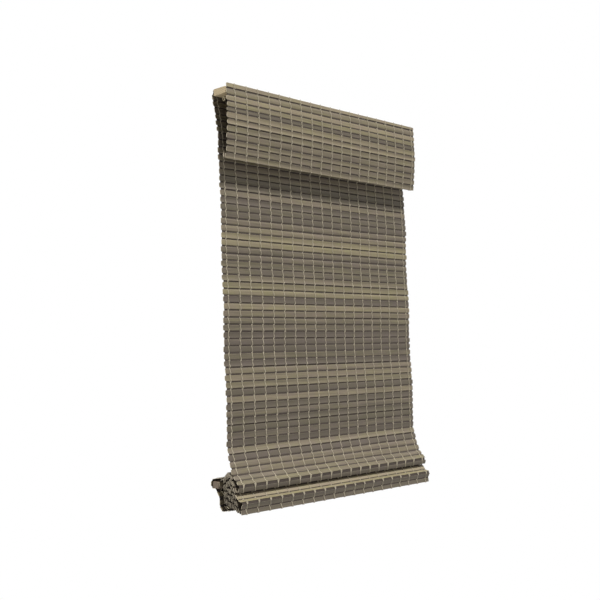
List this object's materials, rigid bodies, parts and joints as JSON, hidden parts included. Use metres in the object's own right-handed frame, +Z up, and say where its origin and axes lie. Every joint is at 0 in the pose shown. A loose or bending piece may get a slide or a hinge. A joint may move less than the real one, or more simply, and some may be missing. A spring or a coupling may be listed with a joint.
{
  "type": "roman shade",
  "caption": "Woven wood roman shade on a head board, with a valance, folding mat sections, a gathered stack with its bottom bar, lift rings and a cord lock.",
  "frame": {"origin": "middle of the head board's top face", "axes": "+X along the head board to the right seen from the room, +Y towards the window, +Z up"},
  "size_m": [0.597, 0.1069, 0.8749],
  "materials": {
    "board": "planed softwood, unpainted",
    "slats": "stained thin wood slats, satin",
    "warp": "twisted yarn",
    "bar": "stained wood",
    "rings": "moulded",
    "steel": "zinc plated",
    "brass": "plated wire and turned pin"
  },
  "bodies": {
    "head": {"head_board": "board", "valance": "slats", "warp_valance": "warp", "mat_head": "slats", "warp_head": "warp", "lift_rings_1": "rings", "staples_valance": "steel", "staples_mat": "steel", "screw_eyes": "brass", "cord_lock_frame": "steel", "cord_lock_pawl_pin": "steel", "cord_lock_guide_pin": "brass", "cord_lock_screws": "steel"},
    "upper_1": {"mat_upper_1": "slats", "warp_upper_1": "warp"},
    "lower_1": {"mat_lower_1": "slats", "warp_lower_1": "warp"},
    "row_1": {"ring_slat_1": "slats", "warp_ring_1": "warp", "lift_rings_2": "rings"},
    "upper_2": {"mat_upper_2": "slats", "warp_upper_2": "warp"},
    "lower_2": {"mat_lower_2": "slats", "warp_lower_2": "warp"},
    "row_2": {"ring_slat_2": "slats", "warp_ring_2": "warp", "lift_rings_3": "rings"},
    "upper_3": {"mat_upper_3": "slats", "warp_upper_3": "warp"},
    "lower_3": {"mat_lower_3": "slats", "warp_lower_3": "warp"},
    "stack": {"mat_stack": "slats", "warp_stack": "warp", "bottom_bar": "bar", "lift_rings_4": "rings"},
    "pawl": {"cord_lock_pawl": "steel"}
  },
  "joints": [
    {"name": "fold_1", "type": "hinge", "parent": "head", "child": "upper_1", "pos_m": [0, 0.0073, -0.1644], "axis": [-1, 0, 0], "range_deg": [0, 80]},
    {"name": "crease_1", "type": "hinge", "parent": "upper_1", "child": "lower_1", "pos_m": [0, 0.00237, -0.25266], "axis": [-1, 0, 0], "range_deg": [-160, 0]},
    {"name": "ring_row_1", "type": "hinge", "parent": "lower_1", "child": "row_1", "pos_m": [0, -0.00197, -0.34127], "axis": [-1, 0, 0], "range_deg": [0, 80]},
    {"name": "fold_2", "type": "hinge", "parent": "row_1", "child": "upper_2", "pos_m": [0, -0.00264, -0.35603], "axis": [-1, 0, 0], "range_deg": [0, 80]},
    {"name": "crease_2", "type": "hinge", "parent": "upper_2", "child": "lower_2", "pos_m": [0, -0.00711, -0.44433], "axis": [-1, 0, 0], "range_deg": [-160, 0]},
    {"name": "ring_row_2", "type": "hinge", "parent": "lower_2", "child": "row_2", "pos_m": [0, -0.01098, -0.53295], "axis": [-1, 0, 0], "range_deg": [0, 80]},
    {"name": "fold_3", "type": "hinge", "parent": "row_2", "child": "upper_3", "pos_m": [0, -0.01165, -0.5477], "axis": [-1, 0, 0], "range_deg": [0, 80]},
    {"name": "crease_3", "type": "hinge", "parent": "upper_3", "child": "lower_3", "pos_m": [0, -0.01705, -0.63593], "axis": [-1, 0, 0], "range_deg": [-160, 0]},
    {"name": "ring_row_3", "type": "hinge", "parent": "lower_3", "child": "stack", "pos_m": [0, -0.02185, -0.72453], "axis": [-1, 0, 0], "range_deg": [0, 80]},
    {"name": "pawl_swing", "type": "hinge", "parent": "head", "child": "pawl", "pos_m": [0.244, 0, -0.021], "axis": [0, -1, 0], "range_deg": [-20, 30]}
  ],
  "couplings": [
    {"joint": "fold_1", "follows": "crease_1", "ratio": -0.5},
    {"joint": "ring_row_1", "follows": "crease_1", "ratio": -0.5},
    {"joint": "fold_2", "follows": "crease_2", "ratio": -0.5},
    {"joint": "ring_row_2", "follows": "crease_2", "ratio": -0.5},
    {"joint": "fold_3", "follows": "crease_3", "ratio": -0.5},
    {"joint": "ring_row_3", "follows": "crease_3", "ratio": -0.5}
  ]
}
